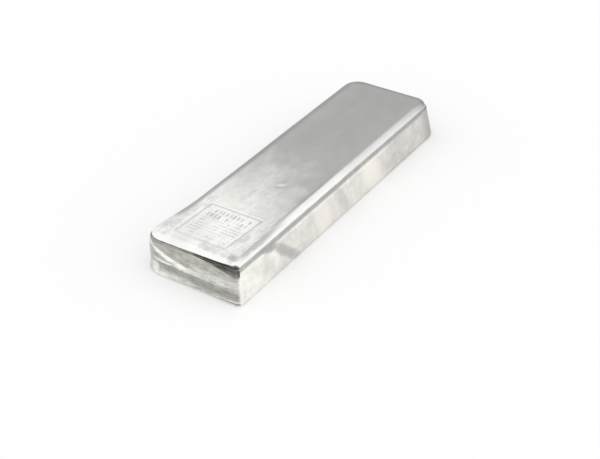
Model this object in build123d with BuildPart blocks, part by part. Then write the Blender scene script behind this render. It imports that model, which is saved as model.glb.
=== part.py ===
from build123d import *
import math
import os

os.makedirs("parts", exist_ok=True)

# A soft white metal ingot, cast in one pour and laid with its stamped face up.
# Millimetres. The origin is the middle of the bottom face, +X along the bar
# away from the stamped end, +Z up out of the stamped face.

# Body: the outline of the bottom face and the overall height
base_length = 170.0
base_width = 51.0
ingot_height = 17.6
base_corner_radius = 10.0

# Walls lean in towards the stamped face, so that the cold bar drops out of its mould
draft_angle = 12.0
base_edge_radius = 1.2

# One corner of the stamped end is much tighter than the other three
tight_corner_radius = 2.4

# Crown: the rounded shoulder all round the stamped face
shoulder_radius = 2.4
crown_land = 0.1

# Crease: the fine step where the crown meets the walls
wall_rim_radius = 0.35
crease_flat = 0.1
crease_radius = 0.3

# Stamp: a square line pressed into the face near one end
stamp_length = 24.8
stamp_width = 25.4
stamp_end_margin = 7.6
stamp_side_shift = 0.6
stamp_line_width = 0.5
stamp_line_depth = 0.25
stamp_inner_radius = 0.3

# Levels and outlines that follow from the sizes above
crown_height = crease_radius + crown_land + shoulder_radius
crease_level = ingot_height - crown_height
wall_rim_run = wall_rim_radius * math.tan(math.radians((90 - draft_angle) / 2))
crease_step = wall_rim_run + crease_flat + crease_radius
wall_lean = crease_level * math.tan(math.radians(draft_angle))
crease_length = base_length - 2 * wall_lean
crease_width = base_width - 2 * wall_lean
crease_corner_radius = base_corner_radius - wall_lean
crown_length = crease_length - 2 * crease_step
crown_width = crease_width - 2 * crease_step
crown_corner_radius = crease_corner_radius - crease_step
tight_crown_radius = shoulder_radius + crease_radius
stamp_outer_radius = stamp_inner_radius + stamp_line_width
stamp_x = -crease_length / 2 + stamp_end_margin + stamp_length / 2
towards_plain_end = Axis((0, 0, 0), (1, 1, 0))


def bar_outline(length, width, corner_radius, tight_radius):
    """A rectangle with three equal corners and the tight one, lowest in X and Y."""
    with BuildSketch(mode=Mode.PRIVATE) as outline:
        Rectangle(length, width)
        fillet(outline.vertices().sort_by(towards_plain_end)[1:], corner_radius)
        fillet(outline.vertices().sort_by(towards_plain_end)[0], tight_radius)
    return outline.sketch


with BuildPart() as ingot:
    # Drafted body, from the bottom face up to the crease
    with BuildSketch(Plane.XY):
        add(bar_outline(base_length, base_width, base_corner_radius, tight_corner_radius))
    with BuildSketch(Plane.XY.offset(crease_level)):
        add(bar_outline(crease_length, crease_width, crease_corner_radius, tight_corner_radius))
    loft(ruled=True)
    fillet(ingot.edges().group_by(Axis.Z)[0], base_edge_radius)
    fillet(ingot.edges().group_by(Axis.Z)[-1], wall_rim_radius)

    # Crown, set in from the wall by the crease
    with BuildSketch(Plane.XY.offset(crease_level)):
        add(bar_outline(crown_length, crown_width, crown_corner_radius, tight_crown_radius))
    extrude(amount=crown_height)
    ledge = ingot.faces().filter_by(Axis.Z).sort_by(Axis.Z)[1]
    fillet(ledge.inner_wires()[0].edges(), crease_radius)
    fillet(ingot.edges().group_by(Axis.Z)[-1], shoulder_radius)

    # Square stamp line in the top face
    with BuildSketch(Plane.XY.offset(ingot_height)):
        with Locations((stamp_x, stamp_side_shift)):
            RectangleRounded(stamp_length, stamp_width, stamp_outer_radius)
            RectangleRounded(
                stamp_length - 2 * stamp_line_width,
                stamp_width - 2 * stamp_line_width,
                stamp_inner_radius,
                mode=Mode.SUBTRACT,
            )
    extrude(amount=-stamp_line_depth, mode=Mode.SUBTRACT)

ingot.part.label = "ingot"
export_step(ingot.part, "parts/ingot.step")
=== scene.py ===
import logging
import math
from collections.abc import Mapping, Sequence
from dataclasses import dataclass
from enum import Enum
from typing import Any

import bpy
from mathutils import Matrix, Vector, noise


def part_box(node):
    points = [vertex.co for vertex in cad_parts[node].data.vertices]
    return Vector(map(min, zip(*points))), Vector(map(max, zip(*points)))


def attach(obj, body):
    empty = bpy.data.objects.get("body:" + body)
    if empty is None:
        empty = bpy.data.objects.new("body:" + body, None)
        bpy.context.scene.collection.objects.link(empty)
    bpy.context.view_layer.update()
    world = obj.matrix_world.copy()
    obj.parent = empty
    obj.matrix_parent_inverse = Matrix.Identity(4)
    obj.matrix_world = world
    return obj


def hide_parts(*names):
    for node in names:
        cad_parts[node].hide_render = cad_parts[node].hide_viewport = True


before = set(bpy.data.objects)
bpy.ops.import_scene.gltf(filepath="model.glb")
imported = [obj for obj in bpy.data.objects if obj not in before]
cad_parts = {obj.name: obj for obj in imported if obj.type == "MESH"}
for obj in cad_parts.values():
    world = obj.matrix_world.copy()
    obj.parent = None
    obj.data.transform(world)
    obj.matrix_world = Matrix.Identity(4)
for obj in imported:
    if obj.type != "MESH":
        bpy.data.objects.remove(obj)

LOG = logging.getLogger("ingot_scene")

# Sizes below are millimetres, as in the part's source; Blender's unit is the metre
MM = 0.001

Colour = tuple[float, float, float]
Place = tuple[float, float, float]

# Where a change is 0, and then where it is 1; it falls where the first is the larger
Span = tuple[float, float]


def smooth(value: float, low: float, high: float) -> float:
    """Rise from 0 at low to 1 at high, or fall where low is the larger.

    Args:
        value: Where the step is read.
        low: Where it is 0.
        high: Where it is 1.

    Returns:
        A number from 0 to 1, level at both ends.
    """
    share = min(max((value - low) / (high - low), 0.0), 1.0)
    return share * share * (3.0 - 2.0 * share)


def hump(distance: float, width: float) -> float:
    """Return 1 on a line and 0 past half a width to either side of it."""
    return smooth(abs(distance), width / 2.0, 0.0)


def wobble(x: float, y: float, wave: float, seed: float) -> float:
    """Return smooth noise from about -1 to 1.

    Args:
        x: First coordinate, in millimetres.
        y: Second coordinate, in millimetres.
        wave: Typical distance from one swell to the next.
        seed: Picks one of many patterns.

    Returns:
        The noise at that place.
    """
    return noise.noise(Vector((x / wave, y / wave, seed)))


class Corner(Enum):
    """The bar's four upright corners, as signs of X and Y."""

    TIGHT = (-1, -1)
    FAR_RIGHT = (1, -1)
    FAR_LEFT = (1, 1)
    NEAR_LEFT = (-1, 1)


@dataclass(frozen=True)
class Station:
    """One level of the side profile, met by a ring right round the bar.

    Attributes:
        inset: Distance in from the outline of the bottom face.
        height: Height above the bottom face.
        outward: Outward share of the profile's normal.
        upward: Upward share of the profile's normal.
        tight_radius: Radius of the tight corner at this level.
    """

    inset: float
    height: float
    outward: float
    upward: float
    tight_radius: float


@dataclass(frozen=True)
class SideProfile:
    """The bar's side from the stamped face down: shoulder, crease, wall and base edge.

    Attributes:
        ingot_height: Overall height.
        draft_angle: The wall's lean from upright, in degrees.
        base_edge_radius: Radius of the edge round the bottom face.
        tight_corner_radius: Radius in plan of the wall at the tight corner.
        shoulder_radius: Radius of the crown's shoulder.
        crown_land: Upright strip between the shoulder and the crease.
        wall_rim_radius: Radius of the walls' top edge.
        crease_flat: Width of the level strip in the crease.
        crease_radius: Radius of the hollow at the crown's foot.
        shoulder_steps: Rings down the shoulder.
        small_arc_steps: Rings down the hollow, and down the walls' top edge.
        base_edge_steps: Rings down the base edge.
        wall_rows: Rings down the wall.
    """

    ingot_height: float = 17.6
    draft_angle: float = 12.0
    base_edge_radius: float = 1.2
    tight_corner_radius: float = 2.4
    shoulder_radius: float = 2.4
    crown_land: float = 0.1
    wall_rim_radius: float = 0.35
    crease_flat: float = 0.1
    crease_radius: float = 0.3
    shoulder_steps: int = 12
    small_arc_steps: int = 4
    base_edge_steps: int = 6
    wall_rows: int = 26

    @property
    def draft(self) -> float:
        """The wall's lean from upright, in radians."""
        return math.radians(self.draft_angle)

    @property
    def crease_level(self) -> float:
        """Height at which the crown meets the walls."""
        return self.ingot_height - self.crease_radius - self.crown_land - self.shoulder_radius

    @property
    def crown_inset(self) -> float:
        """Inset of the crown's upright side.

        Returns:
            The distance in from the bottom outline.
        """
        rim_run = self.wall_rim_radius * math.tan((math.pi / 2 - self.draft) / 2)
        lean = self.crease_level * math.tan(self.draft)
        return lean + rim_run + self.crease_flat + self.crease_radius

    @property
    def base_bulge(self) -> float:
        """How far the widest line of the rounded base edge lies inside the bottom outline."""
        return self.base_edge_radius * (1.0 / math.tan((math.pi / 2 - self.draft) / 2) - 1.0)

    def shoulder(self) -> list[Station]:
        """Return the crown's rounded shoulder, from the stamped face down.

        Returns:
            The levels of the shoulder.
        """
        centre_inset = self.crown_inset + self.shoulder_radius
        centre_height = self.ingot_height - self.shoulder_radius
        tight_top = self.crease_radius
        stations = []
        for step in range(self.shoulder_steps + 1):
            angle = math.pi / 2 * (1.0 - step / self.shoulder_steps)
            reach = self.shoulder_radius * math.cos(angle)
            rise = self.shoulder_radius * math.sin(angle)
            place = (centre_inset - reach, centre_height + rise)
            stations.append(Station(*place, math.cos(angle), math.sin(angle), tight_top + reach))
        return stations

    def crease(self) -> list[Station]:
        """Return the hollow foot of the crown and the rounded rim of the walls.

        Returns:
            The levels of the hollow and then of the walls' top edge.
        """
        foot_inset = self.crown_inset - self.crease_radius
        foot_height = self.crease_level + self.crease_radius
        crown_tight = self.crease_radius + self.shoulder_radius
        stations = []
        for step in range(self.small_arc_steps + 1):
            angle = math.pi / 2 * step / self.small_arc_steps
            reach = self.crease_radius * math.cos(angle)
            drop = self.crease_radius * math.sin(angle)
            tight = crown_tight + self.crease_radius - reach
            place = (foot_inset + reach, foot_height - drop)
            stations.append(Station(*place, math.cos(angle), math.sin(angle), tight))
        rim_inset = foot_inset - self.crease_flat
        rim_height = self.crease_level - self.wall_rim_radius
        for step in range(self.small_arc_steps + 1):
            angle = math.pi / 2 - (math.pi / 2 - self.draft) * step / self.small_arc_steps
            reach = self.wall_rim_radius * math.cos(angle)
            rise = self.wall_rim_radius * math.sin(angle)
            tight = self.tight_corner_radius - self.wall_rim_radius + reach
            place = (rim_inset - reach, rim_height + rise)
            stations.append(Station(*place, math.cos(angle), math.sin(angle), tight))
        return stations

    def wall(self) -> list[Station]:
        """Return the leaning wall, without its two end lines.

        Returns:
            The levels of the wall.
        """
        top = self.crease_level - self.wall_rim_radius * (1.0 - math.sin(self.draft))
        bottom = self.base_edge_radius * (1.0 + math.sin(self.draft))
        stations = []
        for row in range(1, self.wall_rows):
            height = top + (bottom - top) * row / self.wall_rows
            place = (height * math.tan(self.draft), height)
            normal = (math.cos(self.draft), math.sin(self.draft))
            stations.append(Station(*place, *normal, self.tight_corner_radius))
        return stations

    def base_edge(self) -> list[Station]:
        """Return the rounded edge that leads into the bottom face.

        Returns:
            The levels of the base edge, the last one on the bottom face.
        """
        centre_inset = self.base_bulge + self.base_edge_radius
        stations = []
        for step in range(self.base_edge_steps + 1):
            angle = self.draft - (math.pi / 2 + self.draft) * step / self.base_edge_steps
            inset = centre_inset - self.base_edge_radius * math.cos(angle)
            height = self.base_edge_radius * (1.0 + math.sin(angle))
            tight = self.tight_corner_radius - inset + height * math.tan(self.draft)
            stations.append(Station(inset, height, math.cos(angle), math.sin(angle), tight))
        return stations

    def stations(self) -> list[Station]:
        """Return every level of the side, from the stamped face down to the bottom face."""
        return self.shoulder() + self.crease() + self.wall() + self.base_edge()


@dataclass(frozen=True)
class RingPoint:
    """A point of a ring.

    Attributes:
        x: Along the bar.
        y: Across the bar.
        normal_x: How far the outline faces along the bar there.
        normal_y: How far it faces across the bar there.
    """

    x: float
    y: float
    normal_x: float
    normal_y: float


@dataclass(frozen=True)
class Marks:
    """Places of the grid lines along one axis, close together across the stamp.

    Attributes:
        low: Where the first line stands.
        high: Where the last line stands.
        fine_low: Where the close lines start.
        fine_high: Where the close lines end.
        fine: Distance between close lines.
        coarse: Distance between the other lines.
        keep_low: Below this the lines slide towards the end of their own ring.
        keep_high: Above this the lines slide towards the end of their own ring.
    """

    low: float
    high: float
    fine_low: float
    fine_high: float
    fine: float
    coarse: float
    keep_low: float
    keep_high: float

    def places(self) -> list[float]:
        """Return the nominal place of every line, in rising order.

        Returns:
            The places.
        """
        found = [self.low]
        stretches = (
            (self.low, self.fine_low, self.coarse),
            (self.fine_low, self.fine_high, self.fine),
            (self.fine_high, self.high, self.coarse),
        )
        for start, stop, spacing in stretches:
            count = math.ceil((stop - start) / spacing)
            found += [start + (stop - start) * (n + 1) / count for n in range(count)]
        return found

    def fitted(self, start: float, stop: float) -> list[float]:
        """Slide the outer lines so that the first is at start and the last at stop.

        Args:
            start: End of the arc at the low end of this ring's straight side.
            stop: Start of the arc at its high end.

        Returns:
            The places of the lines on this ring.
        """
        low_share = (self.keep_low - start) / (self.keep_low - self.low)
        high_share = (stop - self.keep_high) / (self.high - self.keep_high)
        found = []
        for place in self.places():
            if place < self.keep_low:
                place = self.keep_low - (self.keep_low - place) * low_share
            elif place > self.keep_high:
                place = self.keep_high + (place - self.keep_high) * high_share
            found.append(place)
        return found


@dataclass(frozen=True)
class BarOutline:
    """The rounded rectangle of the bottom face, and its rings further in.

    Attributes:
        half_length: Half its length.
        half_width: Half its width.
        corner_radius: Radius of the far right and the near left corner.
        far_left_radius: Radius of the far left corner.
        arc_steps: Grid cells round each corner.
        along: Places of the grid lines along the bar.
        across: Places of the grid lines across the bar.
    """

    half_length: float
    half_width: float
    corner_radius: float = 10.0
    far_left_radius: float = 12.0
    arc_steps: int = 16
    along: Marks = Marks(-75.0, 73.0, -75.0, -38.0, 0.25, 1.0, -66.0, 66.0)
    across: Marks = Marks(-15.5, 15.0, -12.8, 14.0, 0.25, 0.6, -12.0, 10.0)

    def radius(self, corner: Corner, station: Station) -> float:
        """Return the radius of one corner at one level.

        Args:
            corner: Which corner.
            station: Which level.

        Returns:
            The radius.
        """
        if corner is Corner.TIGHT:
            return station.tight_radius
        if corner is Corner.FAR_LEFT:
            return self.far_left_radius - station.inset
        return self.corner_radius - station.inset

    def half_arc(self, corner: Corner, station: Station, start: float) -> list[RingPoint]:
        """Return an eighth of a turn round one corner.

        Args:
            corner: Which corner.
            station: Which level.
            start: Direction of the first point's normal, in degrees.

        Returns:
            The points, with the last one left to what follows.
        """
        radius = self.radius(corner, station)
        centre_x = corner.value[0] * (self.half_length - station.inset - radius)
        centre_y = corner.value[1] * (self.half_width - station.inset - radius)
        points = []
        for step in range(self.arc_steps // 2):
            angle = math.radians(start + 90.0 * step / self.arc_steps)
            normal = (math.cos(angle), math.sin(angle))
            place = (centre_x + radius * normal[0], centre_y + radius * normal[1])
            points.append(RingPoint(*place, *normal))
        return points

    def long_side(self, corners: tuple[Corner, Corner], station: Station) -> list[RingPoint]:
        """Return the straight points of a long side, in rising X.

        Args:
            corners: The corner at the low end of the side, and then the one at its high end.
            station: Which level.

        Returns:
            The points, with the ends of both arcs.
        """
        side = corners[0].value[1]
        reach = self.half_length - station.inset
        start = self.radius(corners[0], station) - reach
        stop = reach - self.radius(corners[1], station)
        y = side * (self.half_width - station.inset)
        return [RingPoint(x, y, 0.0, side) for x in self.along.fitted(start, stop)]

    def short_side(self, corners: tuple[Corner, Corner], station: Station) -> list[RingPoint]:
        """Return the straight points of a short side, in rising Y.

        Args:
            corners: The corner at the low end of the side, and then the one at its high end.
            station: Which level.

        Returns:
            The points, with the ends of both arcs.
        """
        side = corners[0].value[0]
        reach = self.half_width - station.inset
        start = self.radius(corners[0], station) - reach
        stop = reach - self.radius(corners[1], station)
        x = side * (self.half_length - station.inset)
        return [RingPoint(x, y, side, 0.0) for y in self.across.fitted(start, stop)]

    def ring(self, station: Station) -> list[RingPoint]:
        """Go round the bar at one level, anticlockwise from the middle of the tight corner.

        Args:
            station: Which level.

        Returns:
            The points of the closed ring.
        """
        right = self.long_side((Corner.TIGHT, Corner.FAR_RIGHT), station)
        far = self.short_side((Corner.FAR_RIGHT, Corner.FAR_LEFT), station)
        left = self.long_side((Corner.NEAR_LEFT, Corner.FAR_LEFT), station)
        near = self.short_side((Corner.TIGHT, Corner.NEAR_LEFT), station)
        points = []
        sides = (
            (Corner.TIGHT, 225.0, right, Corner.FAR_RIGHT),
            (Corner.FAR_RIGHT, 315.0, far, Corner.FAR_LEFT),
            (Corner.FAR_LEFT, 45.0, left[::-1], Corner.NEAR_LEFT),
            (Corner.NEAR_LEFT, 135.0, near[::-1], Corner.TIGHT),
        )
        for first, start, straight, last in sides:
            points += self.half_arc(first, station, start)
            points += straight[:-1]
            points += self.half_arc(last, station, start + 45.0)
        return points

    def side_counts(self) -> tuple[int, int]:
        """Return the number of grid cells along and across the stamped face."""
        arcs = self.arc_steps
        return arcs + len(self.along.places()) - 1, arcs + len(self.across.places()) - 1


@dataclass(frozen=True)
class StampRelief:
    """The square line pressed into the face and the plain bars and dashes inside it.

    Attributes:
        centre_x: Middle of the square along the bar.
        centre_y: Middle of the square across the bar.
        length: Size of the square along the bar.
        width: Size of the square across the bar.
        line_width: Width of the pressed line.
        lean: How far the line's right side leans inwards at the near end.
        line_depth: Depth of the pressed line on its far side.
        burr_height: Height of the metal pushed up outside the line.
        bar_depth: Depth of the bars in the far row.
        dash_depth: Depth of the fine dashes.
        panel_depth: How far the whole square is pressed in.
        bar_rows: Places of the two rows of bars, along the bar from the square's middle.
        bar_length: Length of one bar.
        bar_pitch: Distance from one bar to the next.
        bar_width: Width of one bar.
        dash_rows: Number of rows of fine dashes.
        dash_start: Place of their first row, along the bar from the square's middle.
        dash_pitch: Distance from one row to the next.
        dash_width: Width of one row.
        line_darkening: Share of darkening in the square's line.
        bar_darkening: Share of darkening in the bars.
        dash_darkening: Share of darkening in the dashes.
    """

    centre_x: float = -61.9
    centre_y: float = 0.6
    length: float = 24.8
    width: float = 25.4
    line_width: float = 1.15
    lean: float = 1.4
    line_depth: float = 0.24
    burr_height: float = 0.08
    bar_depth: float = 0.18
    dash_depth: float = 0.13
    panel_depth: float = 0.06
    bar_rows: tuple[float, float] = (8.7, 5.2)
    bar_length: float = 3.0
    bar_pitch: float = 1.9
    bar_width: float = 1.5
    dash_rows: int = 7
    dash_start: float = 2.4
    dash_pitch: float = 1.95
    dash_width: float = 0.75
    line_darkening: float = 0.62
    bar_darkening: float = 0.85
    dash_darkening: float = 0.72

    def outline_distance(self, x: float, y: float) -> float:
        """Return the distance outside the square's line, or minus the distance inside it."""
        leaning = self.lean * (0.5 - x / self.length) if y < 0.0 else 0.0
        return max(abs(x) - self.length / 2.0, abs(y) - self.width / 2.0 + max(leaning, 0.0))

    def bars(self, x: float, y: float) -> float:
        """Return how deep the two rows of bars are, as a share.

        Args:
            x: Along the bar, from the square's middle.
            y: Across the bar, from the square's middle.

        Returns:
            A share from 0 to 1.
        """
        deepest = 0.0
        for row, row_x in enumerate(self.bar_rows):
            column = round(y / self.bar_pitch)
            bar_y = (column + 0.25 * wobble(column, row, 0.7, 2.6)) * self.bar_pitch
            strength = smooth(wobble(column, row, 0.37, 7.9), -0.45, 0.2)
            bar_x = smooth(abs(x - row_x), self.bar_length / 2.0, self.bar_length / 2.0 - 0.5)
            inside = smooth(abs(y), self.width / 2.0 - 1.2, self.width / 2.0 - 2.2)
            deepest = max(deepest, strength * bar_x * inside * hump(y - bar_y, self.bar_width))
        return deepest

    def dashes(self, x: float, y: float) -> float:
        """Return how deep the rows of fine dashes are, as a share.

        Args:
            x: Along the bar, from the square's middle.
            y: Across the bar, from the square's middle.

        Returns:
            A share from 0 to 1.
        """
        row = round((self.dash_start - x) / self.dash_pitch)
        if not 0 <= row < self.dash_rows:
            return 0.0
        row_x = self.dash_start - row * self.dash_pitch
        broken = smooth(wobble(y, row * 9.0, 1.15, 4.2), -0.2, 0.05)
        patch = smooth(wobble(x, y, 7.0, 1.7), -0.5, -0.1)
        inside = smooth(abs(y), self.width / 2.0 - 1.4, self.width / 2.0 - 2.4)
        return broken * patch * inside * hump(x - row_x, self.dash_width)

    def near_side(self, x: float) -> float:
        """Return 1 on the square's side next to the bar's end, and 0 further in."""
        return smooth(x, -self.length / 2.0 + 1.0, -self.length / 2.0)

    def mark_darkening(self, x: float, y: float) -> float:
        """Return how much darker the stamp's marks are at a place on the face.

        Args:
            x: Along the bar.
            y: Across the bar.

        Returns:
            A share from 0 to 1.
        """
        x, y = x - self.centre_x, y - self.centre_y
        outside = self.outline_distance(x, y)
        if outside > self.line_width:
            return 0.0
        worn = self.near_side(x) * (0.3 + 0.3 * smooth(y, -4.0, 2.0))
        line = hump(outside, self.line_width * 1.5) * (1.0 - worn) * (0.85 + 0.3 * wobble(x, y, 3.0, 6.6))
        in_bars = self.bar_darkening * self.bars(x, y)
        in_dashes = self.dash_darkening * self.dashes(x, y)
        return max(self.line_darkening * line, in_bars, in_dashes)

    def height(self, x: float, y: float) -> float:
        """Return the stamp's relief above the plain face at a place on it.

        Args:
            x: Along the bar.
            y: Across the bar.

        Returns:
            The height, which is below 0 where the face is pressed in.
        """
        x, y = x - self.centre_x, y - self.centre_y
        outside = self.outline_distance(x, y)
        if outside > 3.0:
            return 0.0
        far_side = smooth(x, self.length / 2.0 - 1.0, self.length / 2.0)
        line = self.line_depth * (0.8 + 0.2 * far_side - 0.35 * self.near_side(x))
        burr = self.burr_height * (0.5 + 0.8 * far_side)
        relief = -line * hump(outside, self.line_width * 1.4)
        relief += burr * hump(outside - self.line_width, self.line_width * 1.6)
        relief -= self.panel_depth * smooth(outside, 0.2, -0.4)
        relief -= self.bar_depth * self.bars(x, y) + self.dash_depth * self.dashes(x, y)
        return relief


@dataclass(frozen=True)
class Dent:
    """A small knock or swelling on the stamped face.

    Attributes:
        x: Its middle along the bar.
        y: Its middle across the bar.
        length: Half its size along its own direction.
        width: Half its size across that direction.
        turn: Its direction from +X, in degrees.
        height: How far it stands up, or below 0 how deep it is.
    """

    x: float
    y: float
    length: float
    width: float
    turn: float
    height: float

    def at(self, x: float, y: float) -> float:
        """Return the dent's height at a place on the face.

        Args:
            x: Along the bar.
            y: Across the bar.

        Returns:
            The height.
        """
        cos, sin = math.cos(math.radians(self.turn)), math.sin(math.radians(self.turn))
        along = ((x - self.x) * cos + (y - self.y) * sin) / self.length
        across = ((y - self.y) * cos - (x - self.x) * sin) / self.width
        return self.height * math.exp(-2.0 * (along * along + across * across))


@dataclass(frozen=True)
class FaceRelief:
    """The unevenness that the stamped face froze with, and its knocks.

    Attributes:
        broad_wave: Distance from one broad swell to the next.
        broad_height: Height of the broad swells.
        short_wave: Distance from one short swell to the next.
        short_height: Height of the short swells.
        sink: How far the whole face is let down, to keep the swells below its true plane.
        dents: The knocks.
    """

    broad_wave: float = 34.0
    broad_height: float = 0.12
    short_wave: float = 9.0
    short_height: float = 0.02
    sink: float = 0.16
    dents: tuple[Dent, ...] = (
        Dent(-22.6, -4.1, 2.6, 0.9, -62.0, -0.2),
        Dent(-21.0, -3.0, 2.4, 1.0, -62.0, 0.12),
        Dent(58.5, 10.6, 1.6, 1.2, 0.0, 0.05),
        Dent(-77.6, -17.4, 3.4, 2.2, 20.0, -0.22),
        Dent(-43.0, 3.0, 1.4, 2.2, 10.0, 0.08),
        Dent(-45.6, 0.5, 1.0, 2.0, -8.0, -0.06),
        Dent(-41.2, -2.0, 1.2, 1.6, 15.0, 0.05),
        Dent(-46.5, 8.0, 1.2, 2.4, 5.0, 0.05),
    )

    def height(self, x: float, y: float) -> float:
        """Work out how the face lies against its true plane.

        Args:
            x: Along the bar.
            y: Across the bar.

        Returns:
            The height, which is below 0 nearly everywhere.
        """
        broad = self.broad_height * wobble(x, y * 1.6, self.broad_wave, 3.1)
        short = self.short_height * wobble(x, y, self.short_wave, 8.4)
        return broad + short - self.sink + sum(dent.at(x, y) for dent in self.dents)


@dataclass(frozen=True)
class EndFolds:
    """Cold laps on the stamped end's wall, where the metal froze in steps as it was poured.

    Attributes:
        lap_level: Height of the upper lap at lap_start.
        lap_slope: Its rise for each millimetre towards the left.
        lap_curl: Its further rise left of lap_start, for each square millimetre.
        lap_start: Where across the wall the curl starts.
        lap_height: How far the metal stands out below the upper lap.
        under_level: Height of the lower lap in the middle of the wall.
        under_slope: Its rise for each millimetre towards the left.
        under_height: How far the metal stands out below the lower lap.
        pocket_depth: Depth of the pocket under the crown.
        pocket_level: Height of the pocket's middle line on the left.
        pocket_fall: Its fall for each millimetre to the right of pocket_bend.
        pocket_bend: Distance right of the middle where the fall starts.
        pocket_half: Half the pocket's height in the middle of the wall.
        pocket_growth: How much that grows to the right, for each square millimetre.
        pocket_top: Height at which the pocket ends under the crown.
        ledge_growth: How much lower its painted shade reaches, for each millimetre to the right.
    """

    lap_level: float = 7.4
    lap_slope: float = 0.07
    lap_curl: float = 0.0085
    lap_start: float = 0.0
    lap_height: float = 0.34
    under_level: float = 6.7
    under_slope: float = 0.05
    under_height: float = 0.2
    pocket_depth: float = 1.0
    pocket_level: float = 14.92
    pocket_fall: float = 0.03
    pocket_bend: float = 8.0
    pocket_half: float = 0.42
    pocket_growth: float = 0.0034
    pocket_top: float = 15.6
    ledge_growth: float = 0.045

    def lap_line(self, y: float) -> float:
        """Return the height of the upper lap at a place across the wall."""
        run = y - self.lap_start
        return self.lap_level + self.lap_slope * run + self.lap_curl * max(run, 0.0) ** 2

    def under_line(self, y: float) -> float:
        """Return the height of the lower lap at a place across the wall."""
        return self.under_level + self.under_slope * y

    def height(self, y: float, z: float) -> float:
        """Return the end wall's relief, outwards, at a place on it.

        Args:
            y: Across the bar.
            z: Height.

        Returns:
            How far the wall stands out there, or below 0 how deep it is.
        """
        lap = self.lap_line(y)
        under = min(self.under_line(y), lap - 0.8)
        fade = smooth(y, 20.0, 15.0) * smooth(y, -24.0, -16.0)
        relief = self.lap_height * smooth(z, lap + 0.5, lap - 0.1) * smooth(z, under - 0.3, lap - 0.3)
        relief += self.under_height * smooth(z, under + 0.1, under - 0.4) * smooth(z, 2.0, under - 0.5)
        relief += 0.06 * wobble(y, z * 2.2, 5.0, 6.3)
        right = max(-y, 0.0)
        level = self.pocket_level - self.pocket_fall * max(right - self.pocket_bend, 0.0)
        half = self.pocket_half + self.pocket_growth * right * right
        pocket = smooth(y, 10.0, -16.0) * smooth(abs(z - level), half * 1.5, half * 0.5)
        pocket *= smooth(z, self.pocket_top, self.pocket_top - 0.5) * smooth(y, -24.5, -21.0)
        return fade * relief - self.pocket_depth * pocket


@dataclass(frozen=True)
class LeftFlare:
    """The left wall stands fuller towards the stamped end than the straight outline.

    Attributes:
        most: The greatest shift.
        start_x: Where along the bar it starts.
        full_x: Where it is greatest.
    """

    most: float = 2.7
    start_x: float = -46.0
    full_x: float = -84.0

    def shift(self, x: float, y: float, z: float) -> float:
        """Return how far a point moves towards +Y."""
        along = smooth(x, self.start_x, self.full_x)
        return self.most * along * smooth(z, 2.0, 14.0) * smooth(y, 6.0, 20.0)


class Socket:
    """A value that flows through a node tree; numbers can be used in Python expressions."""

    def __init__(self, shop: "NodeShop", output: bpy.types.NodeSocket | None) -> None:
        """Wrap one output.

        Args:
            shop: The builder that adds the nodes.
            output: The output that carries the value, or None for a node without one.
        """
        self.shop = shop
        self.output = output

    def maths(self, operation: str, *others: Any, swap: bool = False) -> "Socket":
        """Add a Math node to this number.

        Args:
            operation: The node's operation.
            others: The other numbers, as plain values or sockets.
            swap: Put this number second instead of first.

        Returns:
            The node's result.
        """
        operands = [self, *others]
        if swap:
            operands.reverse()
        values = dict(enumerate(operands))
        return self.shop.node("ShaderNodeMath", {"operation": operation}, values)

    def __add__(self, other: Any) -> "Socket":
        """Add."""
        return self.maths("ADD", other)

    def __radd__(self, other: Any) -> "Socket":
        """Add, with this number second."""
        return self.maths("ADD", other, swap=True)

    def __sub__(self, other: Any) -> "Socket":
        """Subtract."""
        return self.maths("SUBTRACT", other)

    def __rsub__(self, other: Any) -> "Socket":
        """Subtract this number."""
        return self.maths("SUBTRACT", other, swap=True)

    def __mul__(self, other: Any) -> "Socket":
        """Multiply."""
        return self.maths("MULTIPLY", other)

    def __rmul__(self, other: Any) -> "Socket":
        """Multiply, with this number second."""
        return self.maths("MULTIPLY", other, swap=True)

    def __truediv__(self, other: Any) -> "Socket":
        """Divide."""
        return self.maths("DIVIDE", other)

    def __rtruediv__(self, other: Any) -> "Socket":
        """Divide by this number."""
        return self.maths("DIVIDE", other, swap=True)

    def __abs__(self) -> "Socket":
        """Drop the sign."""
        return self.maths("ABSOLUTE")

    def most(self, other: Any) -> "Socket":
        """Return the larger of two numbers."""
        return self.maths("MAXIMUM", other)

    def least(self, other: Any) -> "Socket":
        """Return the smaller of two numbers."""
        return self.maths("MINIMUM", other)

    def ramp(self, low: float, high: float) -> "Socket":
        """Rise smoothly from 0 at low to 1 at high, or fall where low is the larger.

        Args:
            low: Where the result is 0.
            high: Where the result is 1.

        Returns:
            A number from 0 to 1.
        """
        flip = low > high
        values = {"Value": self, "From Min": min(low, high), "From Max": max(low, high)}
        values |= {"To Min": float(flip), "To Max": float(not flip)}
        return self.shop.node("ShaderNodeMapRange", {"interpolation_type": "SMOOTHSTEP"}, values)


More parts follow.
